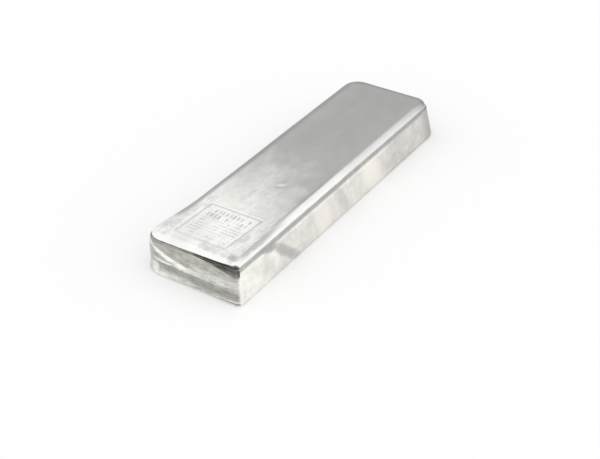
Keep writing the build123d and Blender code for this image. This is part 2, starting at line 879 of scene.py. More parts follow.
class NodeShop:
    """Adds nodes to one tree."""

    def __init__(self, tree: bpy.types.NodeTree) -> None:
        """Start with an empty tree."""
        self.tree = tree
        tree.nodes.clear()

    def node(
        self,
        kind: str,
        settings: Mapping[str, Any] | None = None,
        values: Mapping[str | int, Any] | None = None,
        result: str | int = 0,
    ) -> Socket:
        """Add one node, with its settings first and then its inputs.

        Args:
            kind: The node's type.
            settings: Properties of the node itself.
            values: Plain values, or sockets to link, by input name or number.
            result: Name or number of the output to use.

        Returns:
            The chosen output.
        """
        made = self.tree.nodes.new(kind)
        for name, setting in (settings or {}).items():
            setattr(made, name, setting)
        for name, value in (values or {}).items():
            self.feed(made.inputs[name], value)
        return Socket(self, made.outputs[result] if made.outputs else None)

    def feed(self, target: bpy.types.NodeSocket, value: Any) -> None:
        """Link a socket to an input, or set the input's own value.

        Args:
            target: The input.
            value: A plain value, or a socket to link.
        """
        if isinstance(value, Socket):
            self.tree.links.new(value.output, target)
        else:
            target.default_value = value

    def mix(self, first: Any, second: Any, factor: Any) -> Socket:
        """Blend two colours.

        Args:
            first: The colour where the factor is 0.
            second: The colour where the factor is 1.
            factor: A number from 0 to 1.

        Returns:
            The blended colour.
        """
        made = self.tree.nodes.new("ShaderNodeMix")
        made.data_type = "RGBA"
        sockets = {socket.identifier: socket for socket in made.inputs}
        self.feed(sockets["Factor_Float"], factor)
        self.feed(sockets["A_Color"], rgba(first))
        self.feed(sockets["B_Color"], rgba(second))
        results = {socket.identifier: socket for socket in made.outputs}
        return Socket(self, results["Result_Color"])

    def ripple(self, place: Socket, scale: float, detail: float = 3.0, rough: float = 0.5) -> Socket:
        """Return noise from about -1 to 1.

        Args:
            place: Where it is read.
            scale: Swells in one unit of length.
            detail: How many finer layers are added.
            rough: How strong the finer layers are.

        Returns:
            The noise as a number.
        """
        values = {"Vector": place, "Scale": scale, "Detail": detail, "Roughness": rough}
        return (self.node("ShaderNodeTexNoise", {}, values) - 0.5) * 2.0

    def shaded(self, colour: Socket, change: Socket) -> Socket:
        """Return a colour made lighter or darker by a share of itself, never above white.

        Args:
            colour: The colour.
            change: The share, which is below 0 where it gets darker.

        Returns:
            The new colour.
        """
        scaled = {0: colour, "Scale": 1.0 + change}
        made = self.node("ShaderNodeVectorMath", {"operation": "SCALE"}, scaled)
        return self.vector("MINIMUM", made, (1.0, 1.0, 1.0))

    def vector(self, operation: str, first: Socket, second: Any) -> Socket:
        """Return one vector combined with another."""
        return self.node("ShaderNodeVectorMath", {"operation": operation}, {0: first, 1: second})

    def number_mix(self, first: float, second: float, factor: Socket) -> Socket:
        """Return a number between two plain ones."""
        return first + (second - first) * factor

    def split(self, place: Socket) -> tuple[Socket, Socket, Socket]:
        """Return the three parts of a vector.

        Args:
            place: The vector.

        Returns:
            Its X, Y and Z.
        """
        made = self.tree.nodes.new("ShaderNodeSeparateXYZ")
        self.feed(made.inputs[0], place)
        return tuple(Socket(self, output) for output in made.outputs)


def rgba(colour: Any) -> Any:
    """Give a plain colour its fourth number; leave a socket as it is."""
    return colour if isinstance(colour, Socket) else (*colour, 1.0)


@dataclass(frozen=True)
class Spot:
    """The place on the bar that a colour is asked for, and the noise there, from about -1 to 1.

    Attributes:
        shop: The builder that adds the nodes.
        x: Along the bar, in millimetres.
        y: Across the bar.
        z: Height.
        out_x: How far the surface faces along the bar.
        out_y: How far it faces across the bar.
        up: How far it faces up.
        broad: Swells of some 16 mm.
        cloud: Clouds of some 7 mm, longer along the bar.
        mottle: Spots of some 3 mm.
        grain: Grains of some 0.6 mm.
        along: Streaks that run along the bar.
        across: Streaks that run across the bar.
    """

    shop: NodeShop
    x: Socket
    y: Socket
    z: Socket
    out_x: Socket
    out_y: Socket
    up: Socket
    broad: Socket
    cloud: Socket
    mottle: Socket
    grain: Socket
    along: Socket
    across: Socket

    @classmethod
    def on_bar(cls, shop: NodeShop) -> "Spot":
        """Add the nodes that every colour starts from.

        Args:
            shop: The builder that adds the nodes.

        Returns:
            The spot.
        """
        metres = shop.node("ShaderNodeTexCoord", {}, {}, "Object")
        facing = shop.node("ShaderNodeTexCoord", {}, {}, "Normal")
        place = shop.vector("MULTIPLY", metres, (1.0 / MM,) * 3)
        lengthwise = shop.vector("MULTIPLY", place, (0.22, 1.5, 1.5))
        crosswise = shop.vector("MULTIPLY", place, (1.5, 0.3, 1.8))
        return cls(
            shop,
            *shop.split(place),
            *shop.split(facing),
            shop.ripple(place, 0.06, 4.0, 0.55),
            shop.ripple(shop.vector("MULTIPLY", place, (0.6, 1.2, 1.0)), 0.14, 2.0, 0.5),
            shop.ripple(place, 0.33, 4.0, 0.6),
            shop.ripple(place, 1.7, 3.0, 0.6),
            shop.ripple(lengthwise, 0.7, 3.0, 0.6),
            shop.ripple(crosswise, 0.8, 3.0, 0.6),
        )


@dataclass(frozen=True)
class Smudge:
    """A soft-edged patch of colour on the skin; here used for painted shade, painted reflections and
    changes in the frost.

    Attributes:
        centre: Middle of the patch.
        reach: Half its size along each axis.
        colour: Its own colour.
        strength: How much of the colour shows in the middle.
        lean: How far the patch shifts along the bar for each millimetre of height.
    """

    centre: Place
    reach: Place
    colour: Colour
    strength: float
    lean: float = 0.0

    def lay(self, spot: Spot, under: Socket) -> Socket:
        """Lay the patch over a colour.

        Args:
            spot: The place on the bar.
            under: The colour below the patch.

        Returns:
            The colour with the patch on it.
        """
        off_x = (spot.x - self.centre[0] - (spot.z - self.centre[2]) * self.lean) / self.reach[0]
        off_y = (spot.y - self.centre[1]) / self.reach[1]
        off_z = (spot.z - self.centre[2]) / self.reach[2]
        distance = off_x * off_x + off_y * off_y + off_z * off_z
        ragged = distance + spot.mottle * 0.5 + spot.grain * 0.3
        return spot.shop.mix(under, self.colour, ragged.ramp(1.6, 0.0) * self.strength)


@dataclass(frozen=True)
class GreyLine:
    """A soft grey line of painted shade along the bar, where the face meets a shoulder.

    Attributes:
        y: Its middle across the bar.
        fade: Distances from its middle where it is gone, and then where it is full.
        stray: How far it strays to either side.
        strength: How much of its colour shows.
        comes: Where along the bar it starts, and then where it is full.
        goes: Where along the bar it has weakened again, and then where it is still full.
        left_over: Share of it that is left where it has weakened.
    """

    y: float
    fade: Span
    stray: float
    strength: float
    comes: Span
    goes: Span
    left_over: float = 0.0

    def share(self, spot: Spot) -> Socket:
        """Return how much of the line's colour shows.

        Args:
            spot: The place on the bar.

        Returns:
            A share from 0 to 1.
        """
        stray = (spot.along * 0.9 + spot.mottle * 0.5) * self.stray
        line = abs(spot.y - self.y + stray).ramp(*self.fade) * spot.x.ramp(*self.comes)
        kept = self.left_over + (1.0 - self.left_over) * spot.x.ramp(*self.goes)
        return line * kept * self.strength


@dataclass(frozen=True)
class FaceTone:
    """The stamped face: smooth grey skin at the far end, frosted white round the stamp; the frost's light
    colour is partly real frost and partly painted reflection.

    Attributes:
        stamp: Where the stamp lies.
        skin: The smooth skin.
        frost: The frosted skin, its light colour partly painted reflection.
        white: The cleaner frost inside the stamp's square.
        dull: The thinner frost in clouds.
        pressed: The darker colour in the stamp's marks.
        shadow_line: The grey lines beside the shoulders and along the far edge.
        frost_spread: Where along the bar the skin is bare, and then where it is all frost.
        frost_slant: How far its front runs on along the right side, for each millimetre across.
        clean_left: Where across the bar the frost is gone by the left edge, and then where it is full.
        clean_near: Where along the bar it stops short of that edge, and then where it reaches it.
        lines: The lines of painted shade beside the shoulders.
        far_line: Where along the bar the line of painted shade at the far edge shows.
    """

    stamp: StampRelief
    skin: Colour = (0.668, 0.668, 0.652)
    frost: Colour = (0.93, 0.935, 0.895)
    white: Colour = (1.0, 1.0, 0.975)
    dull: Colour = (0.84, 0.847, 0.81)
    pressed: Colour = (0.42, 0.42, 0.405)
    shadow_line: Colour = (0.50, 0.50, 0.49)
    frost_spread: Span = (8.0, -54.0)
    frost_slant: float = 1.75
    clean_left: Span = (19.8, 18.2)
    clean_near: Span = (-62.0, -68.0)
    lines: tuple[GreyLine, ...] = (
        GreyLine(-19.7, (1.7, 0.5), 1.0, 0.85, (-81.0, -72.0), (-40.0, -58.0)),
        GreyLine(-18.45, (1.0, 0.3), 0.4, 0.6, (-60.0, -45.0), (8.0, -20.0)),
        GreyLine(18.75, (1.4, 0.3), 0.3, 0.75, (-66.0, -54.0), (30.0, -10.0), 2.0 / 3.0),
    )
    far_line: Span = (76.9, 78.3)

    def frosted(self, spot: Spot) -> Socket:
        """Return how frosted the face is.

        Args:
            spot: The place on the bar.

        Returns:
            A share from 0 to 1.
        """
        slant = spot.x - self.frost_slant * (spot.y + 5.0).least(0.0)
        ragged = slant + spot.broad * 20.0 + spot.cloud * 26.0 + spot.mottle * 6.0 + spot.across * 5.0
        clean_border = (spot.y + spot.mottle * 0.8).ramp(*self.clean_left)
        clean_border = clean_border.most(spot.x.ramp(*self.clean_near))
        return ragged.ramp(*self.frost_spread) * clean_border

    def colour(self, spot: Spot, frosted: Socket) -> Socket:
        """Return the face's colour.

        Args:
            spot: The place on the bar.
            frosted: How frosted it is.

        Returns:
            The colour.
        """
        shop = spot.shop
        texture = spot.cloud * 0.3 + spot.mottle * 0.22 + spot.across * 0.1 + spot.grain * 0.22
        change = (texture + spot.along * 0.1) * (0.22 + frosted) + (spot.y.ramp(8.0, 18.0) - 0.3) * 0.05
        # The frost's light colour is partly real frost and partly painted reflection
        colour = shop.mix(self.skin, self.frost, frosted)
        dull = (spot.broad * 0.4 + spot.cloud * 0.8 + spot.along * 0.15).ramp(0.05, -0.25)
        colour = shop.mix(colour, self.dull, dull * frosted * 0.8)
        square_x = abs(spot.x - self.stamp.centre_x) - self.stamp.length / 2.0
        square_y = abs(spot.y - self.stamp.centre_y) - self.stamp.width / 2.0
        inside = (square_x.most(square_y) + spot.mottle * 3.0).ramp(0.0, -3.0)
        return shop.shaded(shop.mix(colour, self.white, inside * 0.9), change)

    def darken_marks(self, spot: Spot, under: Socket) -> Socket:
        """Lay the stamp marks' darker colour over the crown's colour."""
        held = spot.shop.node("ShaderNodeAttribute", {"attribute_name": "pressed"}, {}, "Fac")
        return spot.shop.mix(under, self.pressed, held)

    def lined(self, spot: Spot, under: Socket) -> Socket:
        """Draw the grey lines of painted shade that run where the face meets the shoulders, and along the
        far edge.

        Args:
            spot: The place on the bar.
            under: The crown's colour without the lines.

        Returns:
            The crown's colour with the lines.
        """
        lines = (spot.x + spot.y.ramp(10.0, 20.0) * 3.0).ramp(*self.far_line) * 0.6
        for line in self.lines:
            lines = lines.most(line.share(spot))
        return spot.shop.mix(under, self.shadow_line, lines)


@dataclass(frozen=True)
class ShoulderTone:
    """The crown's rounded shoulder: a painted highlight on the right, painted shade to the left and
    towards the far corner.

    Attributes:
        bright: Painted highlight on the right shoulder's near half.
        middle: Weaker painted highlight on the right shoulder past to_middle.
        dull: Painted shade on the right shoulder as it nears the far end.
        far_corner_shade: Darker painted shade at its far corner.
        near: The upper part of the shoulder along the stamped end.
        left: Painted shade on the left shoulder.
        near_left: The left shoulder beside the stamp.
        far_left: Darker painted shade on the left shoulder's far half.
        to_middle: Where along the bar the right shoulder turns to middle.
        to_dull: Where it turns to dull.
        to_far_corner_shade: Where it turns to tarnish, the darker painted shade.
        to_left: Where along the bar the left shoulder turns from near_left to left.
        to_far_left: Where it turns to far_left.
    """

    bright: Colour = (0.985, 0.985, 0.97)
    middle: Colour = (0.87, 0.87, 0.855)
    dull: Colour = (0.62, 0.62, 0.61)
    far_corner_shade: Colour = (0.44, 0.44, 0.425)
    near: Colour = (0.93, 0.93, 0.915)
    left: Colour = (0.62, 0.62, 0.605)
    near_left: Colour = (0.97, 0.97, 0.95)
    far_left: Colour = (0.53, 0.53, 0.515)
    to_middle: Span = (-6.0, 12.0)
    to_dull: Span = (35.0, 100.0)
    to_far_corner_shade: Span = (67.0, 79.0)
    to_left: Span = (-66.0, -28.0)
    to_far_left: Span = (-10.0, 25.0)

    def colour(self, spot: Spot) -> Socket:
        """Return the shoulder's colour.

        Args:
            spot: The place on the bar.

        Returns:
            The colour.
        """
        shop = spot.shop
        # Painted highlight on the right shoulder, fading to painted shade towards the far corner
        right = shop.mix(self.bright, self.middle, spot.x.ramp(*self.to_middle))
        right = shop.mix(right, self.dull, spot.x.ramp(*self.to_dull))
        right = shop.mix(right, self.far_corner_shade, spot.x.ramp(*self.to_far_corner_shade))
        near = shop.mix(self.near, self.bright, spot.z.ramp(17.1, 16.6))
        colour = shop.mix(right, near, spot.out_x.ramp(-0.1, -0.4))
        colour = shop.shaded(colour, spot.along * 0.05 + spot.mottle * 0.05)
        # Painted shade where the shoulder faces left or towards the far end
        left = shop.mix(self.near_left, self.left, spot.x.ramp(*self.to_left))
        left = shop.mix(left, self.far_left, spot.x.ramp(*self.to_far_left))
        return shop.mix(colour, left, spot.out_x.most(spot.out_y).ramp(0.06, 0.3))


@dataclass(frozen=True)
class WallTone:
    """The long walls: warm white metal with faint blotches, lighter near the stamped end and darker
    towards the far end, with painted shade at the far corner and base edge and a painted highlight below
    the crease.

    Attributes:
        near: The right wall beside the tight corner.
        middle: Its middle.
        far: Its far part.
        corner: Painted shade at the far corner and along the far part's base edge.
        left: The left wall.
        rim_highlight: Painted highlight, a pale strip below the crease.
        to_middle: Where along the bar the right wall turns to middle.
        to_far: Where it turns to far.
        to_corner: Where it turns to corner.
        rim_highlight_level: Height of the painted highlight strip.
        rim_highlight_fade: Distances from that height where it is gone, and then where it is full.
        rim_highlight_end: Where along the bar the strip is gone, and then where it is still full.
        foot: Heights between which the base edge darkens with painted shade.
    """

    near: Colour = (0.96, 0.95, 0.89)
    middle: Colour = (0.79, 0.768, 0.728)
    far: Colour = (0.68, 0.655, 0.625)
    corner: Colour = (0.37, 0.365, 0.35)
    left: Colour = (0.62, 0.62, 0.60)
    rim_highlight: Colour = (0.96, 0.92, 0.88)
    to_middle: Span = (-72.0, -50.0)
    to_far: Span = (20.0, 52.0)
    to_corner: Span = (66.0, 79.0)
    rim_highlight_level: float = 13.1
    rim_highlight_fade: Span = (1.2, 0.3)
    rim_highlight_end: Span = (48.0, 25.0)
    foot: Span = (1.6, 0.5)

    def colour(self, spot: Spot) -> Socket:
        """Return the wall's colour.

        Args:
            spot: The place on the bar.

        Returns:
            The colour.
        """
        shop = spot.shop
        drift = spot.x + spot.broad * 24.0
        to_far = drift.ramp(*self.to_far)
        colour = shop.mix(self.near, self.middle, drift.ramp(*self.to_middle))
        colour = shop.mix(colour, self.far, to_far)
        # Painted highlight along the wall just below the crease
        rim_highlight = abs(spot.z - self.rim_highlight_level + spot.along * 0.5).ramp(*self.rim_highlight_fade)
        colour = shop.mix(colour, self.rim_highlight, rim_highlight * drift.ramp(*self.rim_highlight_end) * 0.65)
        # Painted shade at the far corner, and along the far part's base edge
        colour = shop.mix(colour, self.corner, spot.x.ramp(*self.to_corner) * 0.85)
        colour = shop.mix(colour, self.corner, spot.z.ramp(*self.foot) * to_far * 0.35)
        colour = shop.mix(colour, self.left, spot.out_y.ramp(0.2, 0.7))
        change = spot.mottle * 0.2 + spot.cloud * 0.18 + spot.along * 0.1 + spot.grain * 0.12
        return shop.shaded(colour, change)


@dataclass(frozen=True)
class EndTone:
    """The end walls: the stamped end painted a darker brown-grey for the dark reflection it shows, with
    painted highlights on its laps and base edge and painted shade below them.

    Attributes:
        folds: Where the laps lie.
        painted_end_shade: The stamped end's plain colour, darkened as a painted reflection.
        lap: Painted highlight on the laps, which stand out in the relief, and on the wall's lower left
            part.
        pale: The lighter band above them, right of the middle.
        band: Painted shade in a band under the lower lap.
        edge: Painted highlight along the base edge.
        shade_under_edge: Painted shade below that line.
        corner: The left corner's upper part.
        low_corner: The left corner's lower part.
        far: The far end.
    """

    folds: EndFolds
    painted_end_shade: Colour = (0.47, 0.46, 0.42)
    lap: Colour = (0.90, 0.90, 0.86)
    pale: Colour = (0.64, 0.64, 0.61)
    band: Colour = (0.36, 0.355, 0.33)
    edge: Colour = (0.72, 0.72, 0.69)
    shade_under_edge: Colour = (0.22, 0.22, 0.20)
    corner: Colour = (0.50, 0.50, 0.485)
    low_corner: Colour = (0.64, 0.64, 0.62)
    far: Colour = (0.56, 0.55, 0.52)

    def colour(self, spot: Spot) -> Socket:
        """Return the end walls' colour.

        Args:
            spot: The place on the bar.

        Returns:
            The colour.
        """
        texture = spot.across * 0.6 + spot.mottle * 0.3 + spot.grain * 0.25
        stamped = spot.out_x.ramp(-0.1, -0.4)
        colour = spot.shop.mix(self.far, self.stamped_end(spot), stamped)
        return spot.shop.shaded(colour, texture * (0.4 + 0.6 * stamped * spot.y.ramp(21.0, 17.0)))

    def stamped_end(self, spot: Spot) -> Socket:
        """Return the colour of the stamped end's wall, without its texture.

        Args:
            spot: The place on the bar.

        Returns:
            The colour.
        """
        shop, y = spot.shop, spot.y
        z = spot.z + spot.mottle * 0.35
        under = self.folds.under_level + self.folds.under_slope * y
        # Painted shade in a band under the lower lap
        band = z.ramp(1.8, 3.0) * (under - z).ramp(0.1, 1.0)
        colour = shop.mix(self.painted_end_shade, self.band, band * 0.85)
        pale = z.ramp(5.8, 6.9) * z.ramp(10.8, 8.8) * y.ramp(4.0, -4.0)
        colour = shop.mix(colour, self.pale, pale)
        # Painted highlight low on the wall's left part
        low = z.ramp(5.0, 2.0) * (y + spot.mottle * 5.0).ramp(-13.0, 15.0)
        colour = self.lapped(spot, z, under, shop.mix(colour, self.lap, low * 0.75))
        # Painted highlight along the base edge, then painted shade below it
        base_line = spot.z - (0.5 - 0.05 * y)
        colour = shop.mix(colour, self.edge, abs(base_line).ramp(0.7, 0.2) * 0.8)
        colour = shop.mix(colour, self.shade_under_edge, base_line.ramp(-0.3, -0.8))
        # Painted highlight at the lower left corner
        colour = shop.mix(colour, self.lap, z.ramp(7.2, 5.0) * y.ramp(14.5, 17.5) * 0.9)
        corner = shop.mix(self.corner, self.low_corner, z.ramp(6.5, 4.0))
        at_corner = (y + spot.mottle * 1.5).ramp(17.5, 21.0) * z.ramp(14.2, 11.0)
        return shop.mix(colour, corner, at_corner)

    def lapped(self, spot: Spot, z: Socket, under: Socket, plain: Socket) -> Socket:
        """Draw painted highlights on the two laps, which fade out right of the middle.

        Args:
            spot: The place on the bar.
            z: Its height, with a ragged edge.
            under: Height of the lower lap there.
            plain: The colour without the laps.

        Returns:
            The colour with the laps.
        """
        run = spot.y - self.folds.lap_start
        curl = run.most(0.0)
        upper = self.folds.lap_level + self.folds.lap_slope * run + self.folds.lap_curl * curl * curl
        left = spot.y.ramp(-7.0, 4.0)
        colour = spot.shop.mix(plain, self.lap, abs(z - under).ramp(0.75, 0.2) * left * 0.7)
        return spot.shop.mix(colour, self.lap, abs(z - upper).ramp(1.2, 0.35) * left)


@dataclass(frozen=True)
class CreaseTone:
    """Painted shade: the dark line all round where the crown meets the walls, and the pocket at the
    stamped end.

    Attributes:
        line: The line along the sides and the far end.
        end_line: The line along the stamped end's left part.
        pocket: Painted shadow in the pocket that it opens into.
        pocket_tip: The pocket's end at the tight corner.
        level: Height of the line.
        facing_near: How far a surface faces along the bar where it counts as the stamped end.
        to_pocket: Where across the bar the end's line turns to pocket.
        to_tip: Where it turns to pocket_tip.
    """

    line: Colour = (0.43, 0.43, 0.41)
    end_line: Colour = (0.30, 0.30, 0.27)
    pocket: Colour = (0.115, 0.115, 0.10)
    pocket_tip: Colour = (0.24, 0.235, 0.22)
    level: float = 14.5
    facing_near: Span = (-0.35, -0.75)
    to_pocket: Span = (3.0, -5.0)
    to_tip: Span = (-14.0, -19.0)

    def pocket_share(self, spot: Spot, folds: EndFolds) -> Socket:
        """Find the painted shade line of the stamped end, with its pocket.

        Args:
            spot: The place on the bar.
            folds: Where the pocket lies.

        Returns:
            1 in the line and the pocket, and 0 elsewhere.
        """
        right = spot.y.least(0.0) * -1.0
        level = folds.pocket_level - folds.pocket_fall * (right - folds.pocket_bend).most(0.0)
        half = folds.pocket_half + folds.pocket_growth * right * right
        above = (spot.z - level + spot.mottle * 0.2) / half
        below = (level - spot.z - spot.mottle * 0.2) / (half + folds.ledge_growth * right)
        reach = above.most(below) + spot.across * 0.12
        return reach.ramp(1.2, 0.75) * spot.out_x.ramp(*self.facing_near)

    def lay(self, spot: Spot, folds: EndFolds, under: Socket) -> Socket:
        """Darken a colour in the crease with painted shade.

        Args:
            spot: The place on the bar.
            folds: Where the pocket lies.
            under: The colour without the crease.

        Returns:
            The colour with the crease.
        """
        shop = spot.shop
        beside = 1.0 - spot.out_x.ramp(*self.facing_near)
        # Painted shade in the crease along the sides and the far end
        long_line = abs(spot.z - self.level + spot.along * 0.4).ramp(1.2, 0.35) * beside
        long_line = long_line * (0.92 - spot.mottle.most(0.0) * 0.5)
        colour = shop.mix(under, self.line, long_line)
        # Painted shadow in the stamped end's crease and in the pocket under the crown
        shade = shop.mix(self.end_line, self.pocket, spot.y.ramp(*self.to_pocket))
        shade = shop.mix(shade, self.pocket_tip, spot.y.ramp(*self.to_tip))
        shade = shop.shaded(shade, spot.across * 0.8 + spot.mottle * 0.5)
        return shop.mix(colour, shade, self.pocket_share(spot, folds))


# Colours of the patches: painted shade, painted reflections and frost
GREY_PAINTED_SHADE: Colour = (0.44, 0.44, 0.43)
BROWN_PAINTED_REFLECTION: Colour = (0.62, 0.60, 0.58)
WARM_PAINTED_REFLECTION: Colour = (0.97, 0.92, 0.87)
CREAM_FROST: Colour = (0.98, 0.975, 0.93)
DULL_FROST: Colour = (0.79, 0.793, 0.76)


@dataclass(frozen=True)
class IndiumFinish:
    """Soft white metal as it was cast: smooth skin and frost, with painted highlights, painted shade and
    painted reflections.

    Attributes:
        folds: Where the laps and the pocket of the stamped end lie.
        face: Finish of the stamped face.
        shoulder: Finish of the crown's shoulder, with its painted highlight and shade.
        wall: Finish of the long walls.
        crease: Painted shade of the crease and the pocket.
        crown_from: Where in height the walls turn into the crown.
        smooth_roughness: Roughness of the smooth skin.
        frost_roughness: Roughness of the frost.
        wall_roughness: Roughness of the walls.
        pocket_roughness: What the pocket adds to that.
        frost_metallic: How metallic the frost is.
        bump_strength: Strength of the finest relief.
        bump_depth: Its depth, in metres.
        crown_smudges: Patches on the crown: painted shade in the dent by the tight corner, and lighter
            and duller frost.
        wall_smudges: Patches on the right wall: painted reflections of the neighbouring bars, dark and
            light.
    """

    folds: EndFolds
    face: FaceTone
    shoulder: ShoulderTone = ShoulderTone()
    wall: WallTone = WallTone()
    crease: CreaseTone = CreaseTone()
    crown_from: Span = (14.7, 15.0)
    smooth_roughness: float = 0.31
    frost_roughness: float = 0.46
    wall_roughness: float = 0.34
    pocket_roughness: float = 0.45
    frost_metallic: float = 0.3
    bump_strength: float = 0.6
    bump_depth: float = 0.00006
    crown_smudges: tuple[Smudge, ...] = (
        # Painted shade in the dent by the tight corner, then lighter and duller frost
        Smudge((-78.0, -17.3, 17.0), (2.6, 2.2, 6.0), GREY_PAINTED_SHADE, 0.8),
        Smudge((-45.0, 7.0, 17.5), (3.2, 7.0, 6.0), CREAM_FROST, 0.6),
        Smudge((-71.0, 9.0, 17.5), (13.0, 7.0, 6.0), DULL_FROST, 0.45),
        Smudge((-44.0, -9.0, 17.5), (6.0, 5.5, 6.0), DULL_FROST, 0.55),
    )
    wall_smudges: tuple[Smudge, ...] = (
        # Painted reflections of the neighbouring bars on the right wall, dark and light
        Smudge((-60.0, -23.0, 13.6), (4.5, 4.0, 2.4), GREY_PAINTED_SHADE, 0.95, -1.0),
        Smudge((-49.3, -24.0, 6.6), (4.0, 4.0, 9.0), GREY_PAINTED_SHADE, 0.78, -1.1),
        Smudge((-20.0, -24.0, 8.0), (6.5, 4.0, 9.0), WARM_PAINTED_REFLECTION, 0.65, -0.3),
        Smudge((22.0, -24.0, 8.0), (8.5, 4.0, 9.0), WARM_PAINTED_REFLECTION, 0.8, -0.3),
        Smudge((-4.0, -24.0, 7.0), (4.0, 4.0, 8.0), BROWN_PAINTED_REFLECTION, 0.6, -0.4),
    )

    def crown(self, spot: Spot, frosted: Socket) -> Socket:
        """Return the crown's colour: face, shoulder with its painted highlight and shade, grey lines of
        painted shade, patches and the darker stamp marks.

        Args:
            spot: The place on the bar.
            frosted: How frosted the face is.

        Returns:
            The colour.
        """
        # The right shoulder's painted highlight strip starts on the face, apart from beside the stamp
        painted_highlight_strip = spot.y.ramp(-18.3, -19.4) * spot.x.ramp(-48.0, -30.0) * 0.9
        on_face = spot.up.ramp(0.92, 0.99) * (1.0 - painted_highlight_strip)
        plain = spot.shop.mix(self.shoulder.colour(spot), self.face.colour(spot, frosted), on_face)
        colour = self.face.lined(spot, plain)
        for smudge in self.crown_smudges:
            colour = smudge.lay(spot, colour)
        return self.face.darken_marks(spot, colour)

    def side(self, spot: Spot) -> Socket:
        """Return the walls' colour: the long walls with their patches, and the end walls.

        Args:
            spot: The place on the bar.

        Returns:
            The colour.
        """
        colour = self.wall.colour(spot)
        for smudge in self.wall_smudges:
            colour = smudge.lay(spot, colour)
        return spot.shop.mix(colour, EndTone(self.folds).colour(spot), abs(spot.out_x).ramp(0.4, 0.85))

    def make(self) -> bpy.types.Material:
        """Make the material of nodes alone.

        Returns:
            The material.
        """
        material = bpy.data.materials.new("indium_cast_skin")
        material.use_nodes = True
        shop = NodeShop(material.node_tree)
        spot = Spot.on_bar(shop)
        frosted = self.face.frosted(spot)
        above = spot.z.ramp(*self.crown_from)
        colour = shop.mix(self.side(spot), self.crown(spot, frosted), above)
        # Beside the stamp the frost runs on over the left shoulder
        over_left = spot.out_y.ramp(0.1, 0.3) * spot.x.ramp(-58.0, -68.0) * spot.z.ramp(14.9, 15.4)
        white = frosted * spot.z.ramp(16.4, 17.2).most(over_left)
        rough = shop.number_mix(self.wall_roughness, self.smooth_roughness, above)
        rough = rough + (self.frost_roughness - self.smooth_roughness) * white + spot.mottle * 0.03
        rough = rough + self.pocket_roughness * self.crease.pocket_share(spot, self.folds)
        height = spot.mottle * 0.25 + spot.grain * 0.12 + spot.across * 0.3 * white
        relief = {"Strength": self.bump_strength, "Distance": self.bump_depth, "Height": height}
        shader = shop.node("ShaderNodeBsdfPrincipled", {}, {
            "Base Color": self.crease.lay(spot, self.folds, colour),
            "Metallic": 1.0 - (1.0 - self.frost_metallic) * white,
            "Roughness": rough,
            "Normal": shop.node("ShaderNodeBump", {}, relief),
        })
        shop.node("ShaderNodeOutputMaterial", {}, {"Surface": shader})
        return material


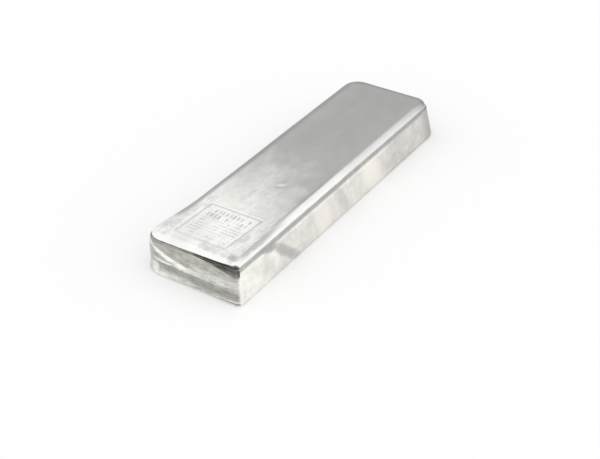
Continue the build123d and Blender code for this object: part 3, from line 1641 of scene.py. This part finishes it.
@dataclass(frozen=True)
class IngotCasting:
    """The whole bar as one closed mesh, with the relief that the plain solid leaves out.

    Attributes:
        profile: The bar's side.
        outline: The bar's outline.
        stamp: The stamp's relief.
        face: The stamped face's unevenness.
        folds: The laps and the pocket of the stamped end.
        flare: The left wall's fullness.
        settle: Width of the border in which the face's grid bends to the outline.
        wave: Distance from one broad wave of the walls to the next.
        wave_height: Height of the broad waves.
        ripple: Distance from one fine ripple of the walls to the next.
        ripple_height: Height of the fine ripples.
    """

    profile: SideProfile
    outline: BarOutline
    stamp: StampRelief = StampRelief()
    face: FaceRelief = FaceRelief()
    folds: EndFolds = EndFolds()
    flare: LeftFlare = LeftFlare()
    settle: float = 7.0
    wave: float = 17.0
    wave_height: float = 0.09
    ripple: float = 3.5
    ripple_height: float = 0.02

    def relief(self, place: Vector, normal: Vector) -> float:
        """Add up the relief at a point of the plain form.

        Args:
            place: The point.
            normal: Outward direction there.

        Returns:
            How far the point moves along that direction, in millimetres.
        """
        on_face = smooth(place.z, self.profile.ingot_height - 1.6, self.profile.ingot_height - 0.2)
        moved = on_face * (self.face.height(place.x, place.y) + self.stamp.height(place.x, place.y))
        on_end = smooth(-normal.x, 0.25, 0.75)
        if on_end > 0.0:
            moved += on_end * self.folds.height(place.y, place.z)
        round_bar = place.x + place.y
        waves = self.wave_height * wobble(round_bar, place.z * 2.0, self.wave, 5.5)
        waves += self.ripple_height * wobble(round_bar, place.z, self.ripple, 2.2)
        clear_of_base = smooth(place.z, 1.2, 3.0)
        return moved + (1.0 - on_face) * clear_of_base * waves

    def placed(self, x: float, y: float, z: float, normal: Vector) -> Place:
        """Return where a point of the plain form ends up, inside the frame's box.

        Args:
            x: Along the bar.
            y: Across the bar.
            z: Height.
            normal: Outward direction at the point.

        Returns:
            The point in metres.
        """
        place = Vector((x, y, z))
        moved = place + normal * self.relief(place, normal)
        moved.y += self.flare.shift(x, y, z)
        reach_x = self.outline.half_length - self.profile.base_bulge
        reach_y = self.outline.half_width - self.profile.base_bulge
        moved.x = min(max(moved.x, -reach_x), reach_x)
        moved.y = min(max(moved.y, -reach_y), reach_y)
        moved.z = min(max(moved.z, 0.0), self.profile.ingot_height)
        return tuple(moved * MM)

    def face_grid(self, ring: Sequence[RingPoint]) -> list[list[tuple[float, float]]]:
        """Spread a grid inside the stamped face's outline.

        Args:
            ring: The outline, from the middle of the tight corner.

        Returns:
            Columns of (x, y) places, whose border is the ring itself.
        """
        cells_x, cells_y = self.outline.side_counts()
        points = [(point.x, point.y) for point in ring]
        right = points[: cells_x + 1]
        far = points[cells_x : cells_x + cells_y + 1]
        left = points[cells_x + cells_y : 2 * cells_x + cells_y + 1][::-1]
        near = (points[2 * cells_x + cells_y :] + points[:1])[::-1]
        # Plain places of the grid lines, and how strongly each border pulls the lines near it
        columns = [(low[0] + high[0]) / 2.0 for low, high in zip(right, left)]
        rows = [(low[1] + high[1]) / 2.0 for low, high in zip(near, far)]
        pull_near = [smooth(place - columns[0], self.settle, 0.0) for place in columns]
        pull_far = [smooth(columns[-1] - place, self.settle, 0.0) for place in columns]
        pull_right = [smooth(place - rows[0], self.settle, 0.0) for place in rows]
        pull_left = [smooth(rows[-1] - place, self.settle, 0.0) for place in rows]
        # Each border's pull, less what two borders pull twice where they meet
        grid = []
        for i, column in enumerate(columns):
            line = []
            for j, row in enumerate(rows):
                spot = []
                for axis, plain in enumerate((column, row)):
                    edges = (near[j][axis], far[j][axis], right[i][axis], left[i][axis])
                    plains = (columns[0], columns[-1], column, column)
                    if axis == 1:
                        plains = (row, row, rows[0], rows[-1])
                    pulls = (pull_near[i], pull_far[i], pull_right[j], pull_left[j])
                    value = plain + sum(
                        pull * (edge - flat) for pull, edge, flat in zip(pulls, edges, plains)
                    )
                    for end, pull_end in ((0, pulls[0]), (-1, pulls[1])):
                        for side, pull_side, border in ((0, pulls[2], right), (-1, pulls[3], left)):
                            flat = (columns[end], rows[side])[axis]
                            value -= pull_end * pull_side * (border[end][axis] - flat)
                    spot.append(value)
                line.append(tuple(spot))
            grid.append(line)
        return grid

    def mesh(self) -> bpy.types.Mesh:
        """Build the closed mesh: a grid on the stamped face and rings down to the bottom.

        Returns:
            The mesh, with the darkening of the stamp's marks stored at its points.
        """
        stations = self.profile.stations()
        rings = [self.outline.ring(station) for station in stations]
        grid = self.face_grid(rings[0])
        cells_x, cells_y = self.outline.side_counts()
        up = Vector((0.0, 0.0, 1.0))
        top = self.profile.ingot_height
        vertices = [self.placed(x, y, top, up) for line in grid for x, y in line]
        pressed = [self.stamp.mark_darkening(x, y) for line in grid for x, y in line]
        number = [[i * (cells_y + 1) + j for j in range(cells_y + 1)] for i in range(cells_x + 1)]
        faces = [
            (number[i][j], number[i + 1][j], number[i + 1][j + 1], number[i][j + 1])
            for i in range(cells_x)
            for j in range(cells_y)
        ]
        above = [number[i][0] for i in range(cells_x)]
        above += [number[cells_x][j] for j in range(cells_y)]
        above += [number[i][cells_y] for i in range(cells_x, 0, -1)]
        above += [number[0][j] for j in range(cells_y, 0, -1)]
        for station, ring in zip(stations[1:], rings[1:]):
            below = list(range(len(vertices), len(vertices) + len(ring)))
            for point in ring:
                lean = Vector((point.normal_x, point.normal_y, 0.0)) * station.outward
                normal = lean + up * station.upward
                vertices.append(self.placed(point.x, point.y, station.height, normal))
            turn = zip(above, below, below[1:] + below[:1], above[1:] + above[:1])
            faces += [tuple(corners) for corners in turn]
            above = below
        faces.append(tuple(reversed(above)))
        mesh = bpy.data.meshes.new("ingot_casting")
        mesh.from_pydata(vertices, [], faces)
        pressed += [0.0] * (len(vertices) - len(pressed))
        mesh.attributes.new("pressed", "FLOAT", "POINT").data.foreach_set("value", pressed)
        mesh.shade_smooth()
        return mesh

    def build(self) -> bpy.types.Object:
        """Make the bar, dress it and let it stand for the plain solid.

        Returns:
            The finished piece.
        """
        piece = bpy.data.objects.new("ingot_casting", self.mesh())
        bpy.context.scene.collection.objects.link(piece)
        piece.data.materials.append(IndiumFinish(self.folds, FaceTone(self.stamp)).make())
        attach(piece, "root")
        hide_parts("ingot")
        return piece


@dataclass(frozen=True)
class Studio:
    """A plain pale floor under soft light, and the camera at the photograph's angle.

    Attributes:
        floor_half_size: Half the side of the floor, in metres.
        floor_colour: The floor's own colour.
        floor_lift: How much of white the floor gives to the camera and to reflections.
        low_sky: Brightness of the room's dim side near the horizon.
        high_sky: Brightness of the rest of the room.
        dim_side: Direction of the dim side.
        lamp_from: Direction in which the lamp lies.
        lamp_strength: Strength of the lamp.
        lamp_spread: Width of the lamp as seen from the bar, in degrees.
        camera_turn: Direction of the camera, turned from -Y towards -X, in degrees.
        camera_elevation: Its height above the horizon, in degrees.
        camera_distance: Its distance from the target.
        camera_target: The point that it looks at.
        camera_lens: Focal length.
        sensor_width: Width of the sensor.
    """

    floor_half_size: float = 3.0
    floor_colour: Colour = (0.86, 0.86, 0.86)
    floor_lift: float = 0.13
    low_sky: float = 0.43
    high_sky: float = 1.0
    dim_side: Place = (0.843, 0.537, 0.0)
    lamp_from: Place = (0.22, 0.12, 0.97)
    lamp_strength: float = 0.2
    lamp_spread: float = 40.0
    camera_turn: float = 57.49
    camera_elevation: float = 34.13
    camera_distance: float = 580.08
    camera_target: Place = (-24.6, -15.06, 0.0)
    camera_lens: float = 80.07
    sensor_width: float = 36.0

    def floor(self) -> None:
        """Lay the floor under the bar."""
        size = self.floor_half_size
        corners = [(-size, -size, 0.0), (size, -size, 0.0), (size, size, 0.0), (-size, size, 0.0)]
        mesh = bpy.data.meshes.new("floor")
        mesh.from_pydata(corners, [], [(0, 1, 2, 3)])
        floor = bpy.data.objects.new("floor", mesh)
        bpy.context.scene.collection.objects.link(floor)
        material = bpy.data.materials.new("pale_floor")
        material.use_nodes = True
        shop = NodeShop(material.node_tree)
        camera_ray = shop.node("ShaderNodeLightPath", {}, {}, "Is Camera Ray")
        glossy_ray = shop.node("ShaderNodeLightPath", {}, {}, "Is Glossy Ray")
        clear_ray = shop.node("ShaderNodeLightPath", {}, {}, "Is Transmission Ray")
        seen = camera_ray.most(glossy_ray).most(clear_ray)
        plain = shop.node("ShaderNodeBsdfDiffuse", {}, {"Color": rgba(self.floor_colour)})
        white = shop.node("ShaderNodeEmission", {}, {"Strength": seen * self.floor_lift})
        both = shop.node("ShaderNodeAddShader", {}, {0: plain, 1: white})
        shop.node("ShaderNodeOutputMaterial", {}, {"Surface": both})
        mesh.materials.append(material)

    def room(self) -> None:
        """Light the bar from the room all round, paler overhead than at the horizon."""
        world = bpy.data.worlds.new("studio_room")
        world.use_nodes = True
        bpy.context.scene.world = world
        shop = NodeShop(world.node_tree)
        direction = shop.node("ShaderNodeTexCoord", {}, {}, "Generated")
        rise = shop.split(direction)[2]
        dot = {"operation": "DOT_PRODUCT"}
        towards_dim = shop.node("ShaderNodeVectorMath", dot, {0: direction, 1: self.dim_side}, "Value")
        bright = rise.ramp(0.5, 0.66).most(towards_dim.ramp(0.72, 0.42))
        level = self.low_sky + (self.high_sky - self.low_sky) * bright
        light = shop.node("ShaderNodeBackground", {}, {"Color": (1.0, 1.0, 1.0, 1.0), "Strength": level})
        shop.node("ShaderNodeOutputWorld", {}, {"Surface": light})

    def lamp(self) -> None:
        """Hang one broad soft lamp."""
        data = bpy.data.lights.new("soft_lamp", "SUN")
        data.energy = self.lamp_strength
        data.angle = math.radians(self.lamp_spread)
        lamp = bpy.data.objects.new("soft_lamp", data)
        lamp.rotation_mode = "QUATERNION"
        lamp.rotation_quaternion = Vector(self.lamp_from).to_track_quat("Z", "Y")
        bpy.context.scene.collection.objects.link(lamp)

    def camera(self) -> None:
        """Set the camera where the photograph was taken from."""
        turn, elevation = math.radians(self.camera_turn), math.radians(self.camera_elevation)
        flat = math.cos(elevation)
        away = Vector((-math.sin(turn) * flat, -math.cos(turn) * flat, math.sin(elevation)))
        data = bpy.data.cameras.new("photo_camera")
        data.lens = self.camera_lens
        data.sensor_width = self.sensor_width
        data.sensor_fit = "HORIZONTAL"
        data.clip_start = 0.01
        data.clip_end = 20.0
        camera = bpy.data.objects.new("photo_camera", data)
        camera.location = (Vector(self.camera_target) + away * self.camera_distance) * MM
        camera.rotation_mode = "QUATERNION"
        camera.rotation_quaternion = away.to_track_quat("Z", "Y")
        bpy.context.scene.collection.objects.link(camera)
        bpy.context.scene.camera = camera

    def build(self) -> None:
        """Set up the floor, the light and the camera."""
        self.floor()
        self.room()
        self.lamp()
        self.camera()
        bpy.context.scene.view_settings.view_transform = "Standard"


def main() -> None:
    """Build the bar and the studio, and say what was made."""
    logging.basicConfig(level=logging.INFO, format="%(name)s: %(message)s")
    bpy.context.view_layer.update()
    low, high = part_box("ingot")
    profile = SideProfile(ingot_height=(high[2] - low[2]) / MM)
    half_length = (high[0] - low[0]) / (2.0 * MM) + profile.base_bulge
    half_width = (high[1] - low[1]) / (2.0 * MM) + profile.base_bulge
    piece = IngotCasting(profile, BarOutline(half_length, half_width)).build()
    LOG.info("%s: %d faces", piece.name, len(piece.data.polygons))
    Studio().build()
    LOG.info("floor, room light, lamp and camera are set")


if __name__ == "__main__":
    main()
